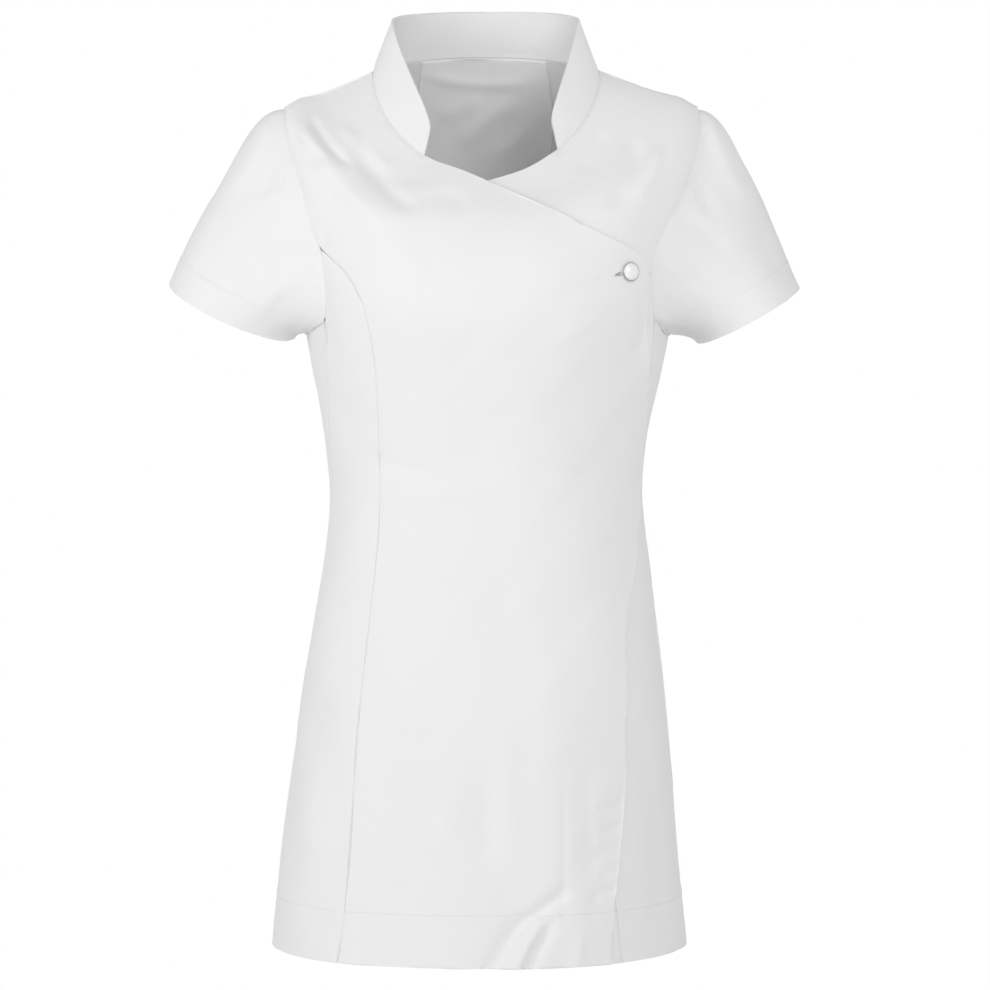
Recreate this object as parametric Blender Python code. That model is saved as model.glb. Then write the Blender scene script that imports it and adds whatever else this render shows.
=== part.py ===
"""A short-sleeved wrap-over work tunic, filled out with no wearer. Metres, +Z up, the front faces -Y.

The body of the tunic is one smooth surface: rings from the hem to the neck seam, read between rows.
Every piece that a maker cuts is a patch of that surface, named by the edges it is cut along.
The origin is in the middle between the two shoulder seams at the neck, where the wearer holds it up.
"""

import math

import bpy
import numpy as np

WALL = 0.0015  # cloth with its seam allowances
SEAM_GAP = 0.0003  # between two pieces that are sewn together
HEM_TURN = 0.0009  # how much thicker the turned hems are, on the inside
HEM_STEP = 0.0015  # the raw edge of a turned hem, measured up the cloth
BODY_HEM = 0.042
SLEEVE_HEM = 0.025
LAP_RISE = 0.0036  # the right front lies this far outside the left one
LAP_HOLD = 0.012  # and keeps that rise so far past the left front's edge
LAP_FADE = 0.036  # and has lost it here
MITRE_LIMIT = 0.62
SEAM_ORDER = (0.37, 0.21, 1.0)  # of a seam's two ends, the one further this way is the last

# Rings of the body, hem first. The last one is the neck seam. From the underarm up a ring lifts at the sides.
SIDE_Z, FRONT_Z, BACK_Z, HALF_WIDTH, FRONT_DEPTH, BACK_DEPTH, CENTRE_X, BOXINESS, CREST = range(9)
RINGS = (
    # side z, front z, back z, half width, front depth, back depth, centre x, boxiness, crest
    (-0.7260, -0.725, -0.726, 0.1705, 0.126, 0.132, -0.0054, 2.10, 1.00),
    (-0.6400, -0.640, -0.640, 0.1630, 0.120, 0.130, -0.0054, 2.10, 1.00),
    (-0.5500, -0.550, -0.550, 0.1530, 0.114, 0.124, -0.0025, 2.10, 1.00),
    (-0.4700, -0.470, -0.470, 0.1430, 0.107, 0.110, -0.0008, 2.10, 1.00),
    (-0.4050, -0.405, -0.405, 0.1330, 0.102, 0.096, 0.0000, 2.10, 1.00),
    (-0.3500, -0.350, -0.350, 0.1280, 0.100, 0.090, -0.0002, 2.10, 1.00),
    (-0.3000, -0.300, -0.300, 0.1335, 0.105, 0.094, -0.0004, 2.10, 1.00),
    (-0.2500, -0.250, -0.250, 0.1440, 0.113, 0.101, 0.0010, 2.10, 1.00),
    (-0.2050, -0.208, -0.205, 0.1520, 0.119, 0.107, 0.0015, 2.12, 1.20),
    (-0.1200, -0.168, -0.150, 0.1630, 0.114, 0.107, 0.0025, 2.18, 1.30),
    (-0.0345, -0.133, -0.088, 0.1730, 0.103, 0.097, 0.0040, 2.15, 1.50),
    (-0.0170, -0.111, -0.032, 0.1320, 0.087, 0.081, 0.0020, 2.10, 1.30),
    (-0.0030, -0.093, 0.016, 0.0935, 0.074, 0.062, 0.0000, 2.05, 1.15),
)
NECK = len(RINGS) - 1
HALF_HEM = RINGS[0][HALF_WIDTH]

FRONT, BACK = 1, -1

# Soft fullness that the princess seams give. Centre seen from the front, height, spread across and up.
FULLNESS = (
    # face, x, z, push, spread x, spread z
    (FRONT, -0.078, -0.185, 0.012, 0.062, 0.060),
    (FRONT, 0.078, -0.185, 0.012, 0.062, 0.060),
    (BACK, -0.070, -0.110, 0.005, 0.060, 0.070),
    (BACK, 0.070, -0.110, 0.005, 0.060, 0.070),
)

# The largest folds, as straight soft ridges and troughs seen from the front or the back.
FOLDS = (
    # face, from x, from z, to x, to z, push, breadth
    (FRONT, -0.158, -0.052, -0.122, -0.094, -0.0030, 0.008),
    (FRONT, -0.146, -0.040, -0.096, -0.120, 0.0022, 0.009),
    (FRONT, -0.098, -0.070, -0.062, -0.116, -0.0022, 0.009),
    (FRONT, 0.124, -0.060, 0.100, -0.112, -0.0026, 0.009),
    (FRONT, 0.062, -0.665, 0.000, -0.728, -0.0042, 0.011),
    (FRONT, 0.044, -0.684, 0.018, -0.730, 0.0036, 0.010),
    (FRONT, -0.052, -0.570, -0.056, -0.730, -0.0034, 0.026),
    (FRONT, 0.150, -0.600, 0.158, -0.730, -0.0036, 0.016),
    (BACK, -0.060, -0.330, -0.046, -0.352, -0.0030, 0.016),
    (BACK, 0.052, -0.318, 0.070, -0.344, -0.0028, 0.015),
    (BACK, -0.066, -0.540, -0.074, -0.730, 0.0040, 0.030),
    (BACK, 0.060, -0.560, 0.066, -0.730, 0.0036, 0.028),
)

# Cut edges on the body, each row a ring (whole numbers are the rows above) and an angle in degrees,
# 0 at the front centre and growing to the wearer's left. All run upwards or from the right to the left.
RIGHT_PRINCESS = (
    (0.0, -49.2), (0.7, -47.6), (1.4, -47.8), (2.2, -49.0), (3.5, -48.5), (4.6, -47.6),
    (5.7, -46.3), (6.8, -43.6), (7.7, -42.0), (8.25, -43.4), (8.55, -46.6), (8.80, -54.4), (8.87, -61.6),
)
LEFT_PRINCESS = (
    (0.0, 49.7), (0.7, 48.6), (1.4, 48.0), (2.2, 47.3), (3.5, 47.1), (4.6, 47.6),
    (5.7, 46.5), (6.8, 43.5), (7.6, 41.8), (8.10, 43.6), (8.35, 47.2), (8.52, 53.4), (8.60, 59.4),
)
RIGHT_SIDE = ((0.0, -87.0), (3.0, -86.0), (5.0, -82.0), (5.9, -75.0), (6.9, -67.5), (7.93, -62.5))
LEFT_SIDE = ((0.0, 87.0), (3.0, 86.0), (5.0, 83.0), (5.9, 77.0), (6.9, 69.5), (7.98, 64.5))
RIGHT_ARM_LOW = ((8.87, -61.6), (8.50, -60.2), (8.20, -60.3), (7.93, -62.5))
LEFT_ARM_LOW = ((8.60, 59.4), (8.38, 60.2), (8.18, 61.8), (7.98, 64.5))
RIGHT_ARM_FRONT = (
    (8.87, -61.6), (9.09, -65.8), (9.30, -68.4), (9.46, -69.6), (9.64, -72.2), (9.82, -75.8), (10.00, -80.0),
    (10.14, -85.0),
)
LEFT_ARM_FRONT = (
    (8.60, 59.4), (8.86, 60.2), (9.15, 65.1), (9.36, 71.2), (9.56, 76.6), (9.74, 79.4), (9.92, 81.4),
    (10.12, 85.6),
)
RIGHT_ARM_UNDER = ((7.93, -62.5), (7.78, -72.0), (7.74, -84.0), (7.82, -95.0), (8.05, -104.0))
LEFT_ARM_UNDER = ((7.98, 64.5), (7.80, 73.0), (7.74, 84.0), (7.82, 95.0), (8.05, 104.0))
RIGHT_ARM_BACK = (
    (8.05, -104.0), (8.55, -111.5), (9.10, -113.5), (9.60, -109.5), (9.95, -100.0), (10.14, -85.0),
)
LEFT_ARM_BACK = ((8.05, 104.0), (8.55, 111.5), (9.10, 113.5), (9.60, 109.5), (9.95, 100.5), (10.12, 85.6))
# Lines on the back, not cut, from the hem to where the armhole turns up
BACK_LINE = {
    "right": ((0.0, -108.0), (4.0, -108.0), (8.05, -104.0)),
    "left": ((0.0, 108.0), (4.0, 108.0), (8.05, 104.0)),
}
RIGHT_SHOULDER = ((10.14, -85.0), (11.0, -87.0), (NECK, -88.6))
LEFT_SHOULDER = ((10.12, 85.6), (11.0, 88.0), (NECK, 90.6))
RIGHT_NECK = ((NECK, -38.0), (NECK, -48.0), (NECK, -60.0), (NECK, -74.0), (NECK, -88.6))
LEFT_NECK = ((NECK, 44.4), (NECK, 53.0), (NECK, 65.0), (NECK, 78.0), (NECK, 90.6))
BACK_NECK = ((NECK, 90.6), (NECK, 135.0), (NECK, 180.0), (NECK, 225.0), (NECK, 271.4))
# The right front's free edges: straight up to the corner by the left armhole, then across to the collar.
LAP_EDGE = (
    (0.0, 45.2), (0.45, 47.0), (1.5, 53.1), (2.4, 55.3), (3.05, 57.6), (3.5, 61.0), (4.0, 67.0), (4.6, 73.2),
    (5.2, 75.6), (5.8, 74.4), (6.5, 69.6), (7.4, 62.2), (8.2, 57.4), (8.70, 56.0),
)
LAP_NECKLINE = (
    (8.70, 56.0), (8.98, 51.6), (9.51, 36.9), (10.36, 22.0), (11.05, 9.5), (11.62, -1.7), (11.92, -18.0),
    (NECK, -38.0),
)
# The left front's free edges: hidden under the right front below the crossing of the two necklines.
UNDER_EDGE = (
    (0.0, 29.1), (0.5, 29.9), (1.5, 31.4), (2.3, 31.8), (3.1, 29.0), (4.5, 24.1), (5.9, 19.2), (7.0, 7.0),
    (7.75, -1.0), (8.5, -10.4), (9.2, -22.0), (9.80, -35.2),
)
UNDER_NECKLINE = ((9.80, -35.2), (10.54, -23.0), (11.05, -13.0), (11.62, -1.7), (11.88, 18.0), (NECK, 44.4))

# Rows and columns of the patches
TRUNK_ROWS = 20
NECKLINE_ROWS = 9
LAP_CORNER_SHARES = (0.0, 0.05, 0.15, 0.27, 0.39, 0.51, 0.63, 0.75, 0.87, 1.0)  # a short first step keeps the lap's corner
NECK_ROWS = 6
ARM_BACK_ROWS = 8
SIDE_COLUMNS = 5
SIDE_BACK_COLUMNS = 4
UNDERARM_STEP = 1  # the sleeve's lowest line meets the armhole this many columns behind the side seam
LAP_COLUMNS = 16
UNDER_COLUMNS = 13
SHOULDER_COLUMNS = 5
BACK_NECK_COLUMNS = 14
SLEEVE_ROWS = 7
COLLAR_ROWS = 3
BACK_CLIMB_RING = 5.2  # from here up the back's rows rise towards its middle
BACK_NARROW_RING = 8.6  # and from here its columns draw in to the shoulders and the neck
NARROW_POWER = 1.5  # above 1 they draw in late
FACING_HALF_COLUMNS = 3
FACING_ROWS = 5

# Sleeves: the hem's outer and inner corner seen from the front, half its depth, how far its front hangs lower
SLEEVES = {
    # side: outer x, outer z, inner x, inner z, half depth, front drop
    "right": (-0.2600, -0.1770, -0.1600, -0.2230, 0.060, 0.011),
    "left": (0.2580, -0.1800, 0.1760, -0.2260, 0.060, 0.006),
}
CAP_RISE = 0.011  # the eased sleeve head stands this far out beyond the armhole
CAP_REACH = 0.10  # share of the sleeve's length in which it rises
HEAD_SLOPE = 0.45  # the head leaves the shoulder point falling this much per metre sideways
HEAD_LEVEL = 0.80  # and this share of its start points that way
LEAVE_PULL, ARRIVE_PULL = 0.45, 0.55  # how firmly the armhole and the hem steer the sleeve's run
HEAD_CROWDING = 1.25  # above 1 the rows are closer together at the head

# Stand collar: what its top edge does against the neck seam, from a front end to the middle of the back
COLLAR_WALL = 0.0018
COLLAR = (
    # share of the way from the front end to the back centre, inwards, backwards, rise
    (0.00, 0.0060, 0.0080, 0.0270),
    (0.05, 0.0085, 0.0095, 0.0365),
    (0.13, 0.0140, 0.0100, 0.0410),
    (0.26, 0.0185, 0.0070, 0.0425),
    (0.42, 0.0175, 0.0030, 0.0430),
    (0.60, 0.0135, -0.0010, 0.0420),
    (0.80, 0.0060, -0.0040, 0.0390),
    (1.00, 0.0000, -0.0050, 0.0375),
)

FACING_WALL = 0.0010
FACING_DROP = 0.0008  # its top edge lies this far below the neck seam

BUTTON_RING, BUTTON_ANGLE = 8.66, 49.2
BUTTON_RADIUS = 0.0070
BUTTON_RIM = 0.0012
BUTTON_DOME = 0.0030
SHANK_RADIUS = 0.0022
SHANK_LENGTH = 0.0012
BUTTON_SEAT = 0.0003
BUTTON_SIDES = 28
DOME_STEPS = 5


FINE_STEPS = 40  # for measuring an edge, per row of its table
PROBE_RING, PROBE_ANGLE = 0.02, 0.4  # steps to either side for finding a direction on the body
SMOOTH_ANGLE = 50  # degrees: a sharper bend shows as an edge
BUTTON_SMOOTH_ANGLE = 40


def unit(vectors):
    """The same directions with length 1."""
    return vectors / np.linalg.norm(vectors, axis=-1, keepdims=True)


def between_rows(table, place):
    """Values of a table at places counted in rows, smooth from row to row."""
    rows = np.array(table, float)
    last = len(rows) - 1
    place = np.clip(np.asarray(place, float), 0, last)
    row = np.minimum(place.astype(int), last - 1)
    t = (place - row)[..., None]
    here, after = rows[row], rows[row + 1]
    before = np.where((row > 0)[..., None], rows[np.maximum(row - 1, 0)], 2 * here - after)
    beyond = np.where((row < last - 1)[..., None], rows[np.minimum(row + 2, last)], 2 * after - here)
    slope = after - before
    bend = 2 * before - 5 * here + 4 * after - beyond
    twist = 3 * here - before - 3 * after + beyond
    return 0.5 * (2 * here + slope * t + bend * t**2 + twist * t**3)


def fold_push(x, z, face, facing):
    """How far the fullness and the folds move the cloth out at a place seen from the front."""
    push = np.zeros_like(x)
    for side, at_x, at_z, height, spread_x, spread_z in FULLNESS:
        near = np.exp(-(((x - at_x) / spread_x) ** 2) - ((z - at_z) / spread_z) ** 2)
        push += np.where(face == side, height * near * facing, 0)
    for side, from_x, from_z, to_x, to_z, height, breadth in FOLDS:
        run_x, run_z = to_x - from_x, to_z - from_z
        length = math.hypot(run_x, run_z)
        along = ((x - from_x) * run_x + (z - from_z) * run_z) / length**2
        across = ((x - from_x) * run_z - (z - from_z) * run_x) / length
        past_end = np.maximum(np.maximum(-along, along - 1), 0) * length / breadth
        near = np.exp(-((across / breadth) ** 2) - past_end**2)
        push += np.where(face == side, height * near * facing, 0)
    return push


def body(place):
    """Points on the inner face of the tunic's body, for rows of ring and angle."""
    ring, angle = place[..., 0], np.radians(place[..., 1])
    row = between_rows(RINGS, ring)
    out_x, out_y = np.sin(angle), -np.cos(angle)
    face = np.where(out_y <= 0, FRONT, BACK)
    depth = np.where(face == FRONT, row[..., FRONT_DEPTH], row[..., BACK_DEPTH])
    level = np.where(face == FRONT, row[..., FRONT_Z], row[..., BACK_Z])
    box = row[..., BOXINESS]
    reach = ((np.abs(out_x) / row[..., HALF_WIDTH]) ** box + (np.abs(out_y) / depth) ** box) ** (-1 / box)
    x, y = reach * out_x, reach * out_y
    z = row[..., SIDE_Z] + (level - row[..., SIDE_Z]) * (np.abs(y) / depth) ** row[..., CREST]
    push = fold_push(x, z, face, np.abs(out_y))
    return np.stack([x + row[..., CENTRE_X] + push * out_x, y + push * out_y, z], -1)


def body_outward(place):
    """Directions that point straight out of the body's surface."""
    step_ring, step_angle = np.array([PROBE_RING, 0.0]), np.array([0.0, PROBE_ANGLE])
    limit = np.array([NECK, math.inf])
    up = body(np.minimum(place + step_ring, limit)) - body(np.maximum(place - step_ring, [0, -math.inf]))
    round_it = body(place + step_angle) - body(place - step_angle)
    return unit(np.cross(round_it, up))


def even(count):
    """Shares from 0 to 1 in equal steps."""
    return np.linspace(0, 1, count + 1)


def run_along(points):
    """Distance along a line of points, from its start to each of them."""
    return np.concatenate([[0], np.cumsum(np.linalg.norm(np.diff(points, axis=0), axis=1))])


def finely(edge):
    """Close places along a cut edge."""
    return between_rows(edge, np.linspace(0, len(edge) - 1, FINE_STEPS * len(edge)))


def trace(edge, shares):
    """Places of a cut edge, ring and angle, at shares of its real length."""
    fine = finely(edge)
    run = run_along(body(fine))
    return np.stack([np.interp(shares, run / run[-1], fine[:, k]) for k in (0, 1)], -1)


def on_stretches(places, count):
    """Even points along a seam whose other piece has it in fewer, straight stretches."""
    corners = body(places)
    run = run_along(corners)
    return np.stack([np.interp(even(count) * run[-1], run, corners[:, k]) for k in range(3)], -1)


def trunk_shares(edge):
    """Shares of an edge that starts at the hem: a row at the hem's turned edge, the rest even."""
    length = run_along(body(finely(edge)))[-1]
    hem, step = BODY_HEM / length, HEM_STEP / length
    above = hem + step + (1 - hem - step) * even(TRUNK_ROWS - 3)
    return np.concatenate([[0, hem / 2, hem], above])


def joined(*parts):
    """One edge from several that follow on, without their shared ends twice."""
    return np.concatenate([parts[0]] + [part[1:] for part in parts[1:]])


def patch(start, end, top):
    """Ring and angle over a panel, from its start edge to its end edge. Rows bend more towards the top."""
    t = even(len(start) - 1)[:, None, None]
    u = even(len(top) - 1)[None, :, None]
    shape = top[None] - (1 - u) * top[0] - u * top[-1]
    return (1 - u) * start[:, None] + u * end[:, None] + t * shape


def grid_outward(points, closed):
    """Directions out of a grid of points, columns round and rows along."""
    along = np.gradient(points, axis=0)
    if closed:
        round_it = np.roll(points, -1, 1) - np.roll(points, 1, 1)
    else:
        round_it = np.gradient(points, axis=1)
    return unit(np.cross(round_it, along))


def seam_clearance(points, outward, sewn):
    """A copy of the points with sewn edges drawn back within the cloth by half the seam gap.

    Each edge is a list of grid places and the step, in rows and columns, that leads into the cloth.
    """
    moved = points.copy()
    for rows, columns, (row_step, column_step) in sewn:
        edge = points[rows, columns]
        inside = points[rows + row_step, columns + column_step]
        back = unit(np.cross(outward[rows, columns], np.gradient(edge, axis=0)))
        towards = np.sign(np.sum(back * (inside - edge), -1, keepdims=True))
        moved[rows, columns] += back * towards * SEAM_GAP / 2
    return moved


def edges_of(place, names):
    """Grid places of a whole grid's start, end or top edges, each with the step into the cloth."""
    rows, columns = np.arange(len(place)), np.arange(len(place[0]))
    places = {
        "start": (rows, 0 * rows, (0, 1)),
        "end": (rows, 0 * rows + columns[-1], (0, -1)),
        "top": (0 * columns + rows[-1], columns, (-1, 0)),
    }
    return [places[name] for name in names]


def back_seams(shape, upper):
    """Grid places of the back's seams: side, under the arm, armhole and the top, on both sides."""
    rows, columns = shape[:2]
    shelf = rows - 1 - upper
    low, high = np.arange(shelf + 1), np.arange(shelf, rows)
    near, far = np.arange(SIDE_BACK_COLUMNS + 1), np.arange(columns - 1 - SIDE_BACK_COLUMNS, columns)
    middle = np.arange(near[-1], far[0] + 1)
    return [
        (low, np.zeros_like(low), (0, 1)),
        (low, np.full_like(low, columns - 1), (0, -1)),
        (np.full_like(near, shelf), near, (-1, 0)),
        (np.full_like(far, shelf), far, (-1, 0)),
        (high, np.full_like(high, near[-1]), (0, 1)),
        (high, np.full_like(high, far[0]), (0, -1)),
        (np.full_like(middle, rows - 1), middle, (-1, 0)),
    ]


def mitre(one, other):
    """The direction, with its length, that both pieces of a bent seam give to their edge faces."""
    middle = unit(one + other)
    return middle / np.maximum(np.sum(middle * one, -1, keepdims=True), MITRE_LIMIT)


def seam_key(place):
    """A name for a place on a seam that is the same from both of its pieces."""
    return round(float(place[0]), 5), round(float(place[1]) % 360, 4)


def material(name, colour, roughness, metallic=0.0):
    finish = bpy.data.materials.new(name)
    finish.use_nodes = True
    shader = finish.node_tree.nodes["Principled BSDF"]
    shader.inputs["Base Color"].default_value = (*colour, 1)
    shader.inputs["Roughness"].default_value = roughness
    shader.inputs["Metallic"].default_value = metallic
    return finish


def wall_body(name, inner, outer, finish, closed=False):
    """A closed wall between two grids of points. A closed one runs round, like a sleeve.

    Cells with a missing corner are left out, so that a grid can be wider at its foot than at its top.
    """
    rows, columns = inner.shape[:2]
    used = np.isfinite(inner[..., 0])
    index = np.where(used, np.cumsum(used).reshape(rows, columns) - 1, -1)
    count = int(used.sum())
    points = np.concatenate([inner[used], outer[used]])
    wrapped = np.concatenate([index, index[:, :1]], 1) if closed else index
    faces, rim = [], set()
    for r, c in np.ndindex(rows - 1, wrapped.shape[1] - 1):
        ring = [int(wrapped[r, c]), int(wrapped[r, c + 1]), int(wrapped[r + 1, c + 1]), int(wrapped[r + 1, c])]
        if min(ring) < 0:
            continue
        for corners in ((ring[0], ring[1], ring[2]), (ring[0], ring[2], ring[3])):
            faces.append([corner + count for corner in corners])
            faces.append(corners[::-1])
        for a, b in zip(ring, ring[1:] + ring[:1]):
            if (b, a) in rim:
                rim.remove((b, a))
            else:
                rim.add((a, b))
    for a, b in sorted(rim):
        # Both pieces of a seam split their edge faces along the same diagonal.
        if points[a] @ SEAM_ORDER < points[b] @ SEAM_ORDER:
            faces += [(a, b, b + count), (a, b + count, a + count)]
        else:
            faces += [(a, b, a + count), (b, b + count, a + count)]
    mesh = bpy.data.meshes.new(name)
    mesh.from_pydata(points.tolist(), [], faces)
    mesh.shade_smooth()
    mesh.set_sharp_from_angle(angle=math.radians(SMOOTH_ANGLE))
    mesh.materials.append(finish)
    piece = bpy.data.objects.new(name, mesh)
    bpy.context.scene.collection.objects.link(piece)
    return piece


def inside_outline(x, z, outline):
    """Whether places seen from the front lie inside a closed outline."""
    inside = np.zeros(x.shape, bool)
    for (x0, z0), (x1, z1) in zip(outline, np.roll(outline, -1, 0)):
        spans = (z0 > z) != (z1 > z)
        with np.errstate(divide="ignore", invalid="ignore"):
            cut = x0 + (z - z0) * (x1 - x0) / (z1 - z0)
        inside ^= spans & (x < cut)
    return inside


def lap_rise(points, under_outline):
    """How far the right front is lifted: all of it over the left front, fading beyond its hidden edge."""
    x, z = points[..., 0], points[..., 2]
    nearest = np.full(x.shape, math.inf)
    for start, end in zip(under_outline[:-1], under_outline[1:]):
        run = end - start
        along = np.clip(((x - start[0]) * run[0] + (z - start[1]) * run[1]) / (run @ run), 0, 1)
        nearest = np.minimum(nearest, np.hypot(x - start[0] - along * run[0], z - start[1] - along * run[1]))
    far = 2 * HALF_HEM
    foot_x, foot_z = under_outline[0] - [0, BODY_HEM]
    closed = np.concatenate([[[foot_x, foot_z]], under_outline, [[far, under_outline[-1, 1]], [far, foot_z]]])
    nearest = np.where(inside_outline(x, z, closed), 0, nearest)
    share = np.clip((LAP_FADE - nearest) / (LAP_FADE - LAP_HOLD), 0, 1)
    return LAP_RISE * share**2 * (3 - 2 * share)


def sleeve_surface(side, loop, under):
    """Grid of a sleeve's inner face, from its armhole to its hem. under is the loop's lowest point."""
    outer_x, outer_z, inner_x, inner_z, half_depth, front_drop = SLEEVES[side]
    outer, inner = np.array([outer_x, 0, outer_z]), np.array([inner_x, 0, inner_z])
    across = (outer - inner) / 2
    forward = np.array([0, -half_depth, 0])
    sideways = math.copysign(1, outer_x)
    axis = unit(np.array([across[2], 0, -across[0]]) * sideways)
    run = run_along(np.concatenate([loop, loop[:1]]))
    whole, run = run[-1], run[:-1]
    way_down, way_up = run / run[under], (run - run[under]) / (whole - run[under])
    turn = math.pi * np.where(run <= run[under], way_down, 1 + way_up)[:, None]
    hem = (outer + inner) / 2 + across * np.cos(turn) + (forward + axis * front_drop) * np.sin(turn)
    chord = hem - loop
    length = np.linalg.norm(chord, axis=1, keepdims=True)
    # The head leaves the shoulder nearly level and swells, the underarm runs straight down to the hem.
    level = unit(np.array([sideways, 0, -HEAD_SLOPE]))
    held = HEAD_LEVEL * np.cos(turn / 2) ** 2
    leave = unit(held * level + (1 - held) * chord / length) * length * LEAVE_PULL
    arrive = axis * length * ARRIVE_PULL
    hem_share, step_share = SLEEVE_HEM / length.mean(), HEM_STEP / length.mean()
    above_hem = even(SLEEVE_ROWS - 2) ** HEAD_CROWDING * (1 - hem_share - step_share)
    t = np.concatenate([above_hem, [1 - hem_share, 1 - hem_share / 2, 1]])[:, None, None]
    curve = (
        (2 * t**3 - 3 * t**2 + 1) * loop
        + (t**3 - 2 * t**2 + t) * leave
        + (3 * t**2 - 2 * t**3) * hem
        + (t**3 - t**2) * arrive
    )
    swell = np.array([sideways, 0, 0]) - chord * (chord[:, :1] * sideways / length**2)
    head = CAP_RISE * np.cos(turn / 2) ** 4
    return curve + unit(swell) * head * (1 - np.exp(-t / CAP_REACH)) * (1 - t)


def build_button(finish, seat, outward):
    """A domed button on its shank, turned from the seat outwards."""
    profile = [(0.0, 0.0), (SHANK_RADIUS, 0.0), (SHANK_RADIUS, SHANK_LENGTH), (BUTTON_RADIUS, SHANK_LENGTH)]
    rim_top = SHANK_LENGTH + BUTTON_RIM
    profile.append((BUTTON_RADIUS, rim_top))
    for step in range(1, DOME_STEPS):
        bend = math.pi / 2 * step / DOME_STEPS
        profile.append((BUTTON_RADIUS * math.cos(bend), rim_top + BUTTON_DOME * math.sin(bend)))
    profile.append((0.0, rim_top + BUTTON_DOME))
    side = unit(np.cross(outward, [0, 0, 1.0]))
    up = np.cross(outward, side)
    points, rings = [], []
    for radius, height in profile:
        ring = []
        for k in range(BUTTON_SIDES if radius else 1):
            turn = 2 * math.pi * k / BUTTON_SIDES
            ring.append(len(points))
            points.append(seat + outward * height + radius * (side * math.cos(turn) + up * math.sin(turn)))
        rings.append(ring)
    faces = []
    for low, high in zip(rings[:-1], rings[1:]):
        for k in range(BUTTON_SIDES):
            n = (k + 1) % BUTTON_SIDES
            if len(low) == 1:
                faces.append((low[0], high[n], high[k]))
            elif len(high) == 1:
                faces.append((low[k], low[n], high[0]))
            else:
                faces.append((low[k], low[n], high[n], high[k]))
    mesh = bpy.data.meshes.new("button")
    mesh.from_pydata([list(p) for p in points], [], faces)
    mesh.shade_smooth()
    mesh.set_sharp_from_angle(angle=math.radians(BUTTON_SMOOTH_ANGLE))
    mesh.materials.append(finish)
    piece = bpy.data.objects.new("button", mesh)
    bpy.context.scene.collection.objects.link(piece)


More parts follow.
